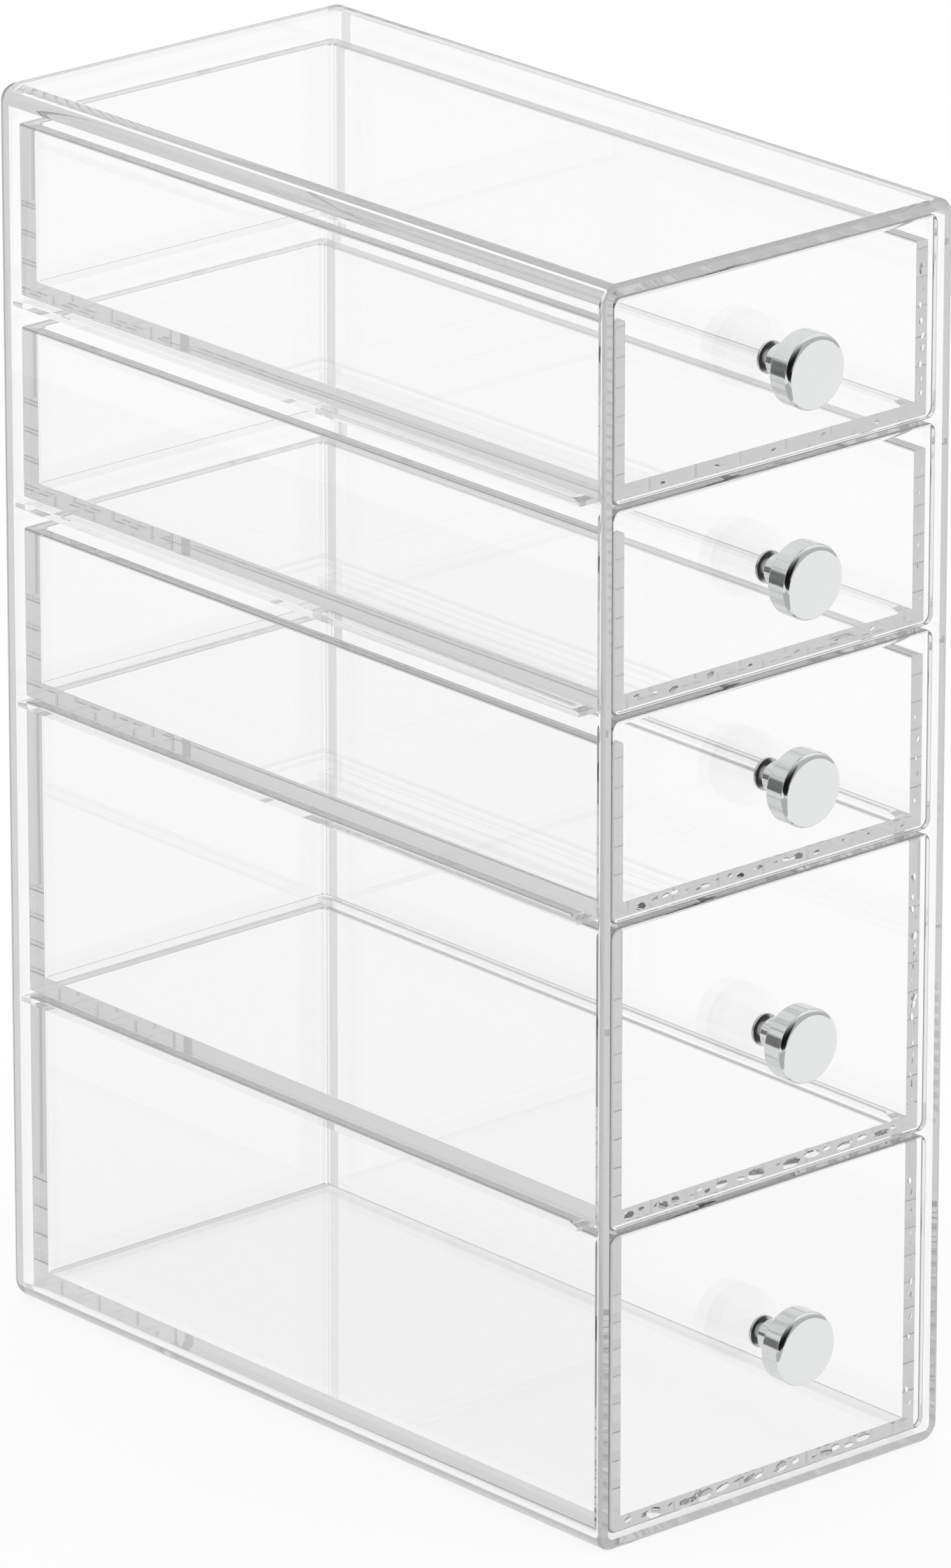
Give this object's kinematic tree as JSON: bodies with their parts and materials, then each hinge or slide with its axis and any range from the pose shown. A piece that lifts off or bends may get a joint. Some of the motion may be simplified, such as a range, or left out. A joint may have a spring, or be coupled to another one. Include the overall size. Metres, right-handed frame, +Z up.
{
  "type": "drawer organizer",
  "caption": "Tall clear plastic case, open at the front, with sliding trays behind flat clear front panels, each pulled out by a round metal knob.",
  "frame": {"origin": "centre of the case's base, on the surface that the organizer stands on", "axes": "+Z up, -Y out of the open front towards which the drawers slide, +X across the width"},
  "size_m": [0.0888, 0.1882, 0.254],
  "materials": {
    "clear_plastic": "clear, smooth and glossy",
    "knob_metal": "polished",
    "screw_metal": "zinc plated, smooth"
  },
  "bodies": {
    "case": {"case_shell": "clear_plastic", "runner_1_left": "clear_plastic", "runner_1_right": "clear_plastic", "runner_2_left": "clear_plastic", "runner_2_right": "clear_plastic", "runner_3_left": "clear_plastic", "runner_3_right": "clear_plastic", "runner_4_left": "clear_plastic", "runner_4_right": "clear_plastic"},
    "drawer_1": {"drawer_1_tray": "clear_plastic", "drawer_1_front": "clear_plastic", "drawer_1_knob": "knob_metal", "drawer_1_screw": "screw_metal"},
    "drawer_2": {"drawer_2_tray": "clear_plastic", "drawer_2_front": "clear_plastic", "drawer_2_knob": "knob_metal", "drawer_2_screw": "screw_metal"},
    "drawer_3": {"drawer_3_tray": "clear_plastic", "drawer_3_front": "clear_plastic", "drawer_3_knob": "knob_metal", "drawer_3_screw": "screw_metal"},
    "drawer_4": {"drawer_4_tray": "clear_plastic", "drawer_4_front": "clear_plastic", "drawer_4_knob": "knob_metal", "drawer_4_screw": "screw_metal"},
    "drawer_5": {"drawer_5_tray": "clear_plastic", "drawer_5_front": "clear_plastic", "drawer_5_knob": "knob_metal", "drawer_5_screw": "screw_metal"}
  },
  "joints": [
    {"name": "drawer_1_slide", "type": "slide", "parent": "case", "child": "drawer_1", "axis": [0, -1, 0], "range_m": [0, 0.14]},
    {"name": "drawer_2_slide", "type": "slide", "parent": "case", "child": "drawer_2", "axis": [0, -1, 0], "range_m": [0, 0.14]},
    {"name": "drawer_3_slide", "type": "slide", "parent": "case", "child": "drawer_3", "axis": [0, -1, 0], "range_m": [0, 0.14]},
    {"name": "drawer_4_slide", "type": "slide", "parent": "case", "child": "drawer_4", "axis": [0, -1, 0], "range_m": [0, 0.14]},
    {"name": "drawer_5_slide", "type": "slide", "parent": "case", "child": "drawer_5", "axis": [0, -1, 0], "range_m": [0, 0.14]}
  ]
}
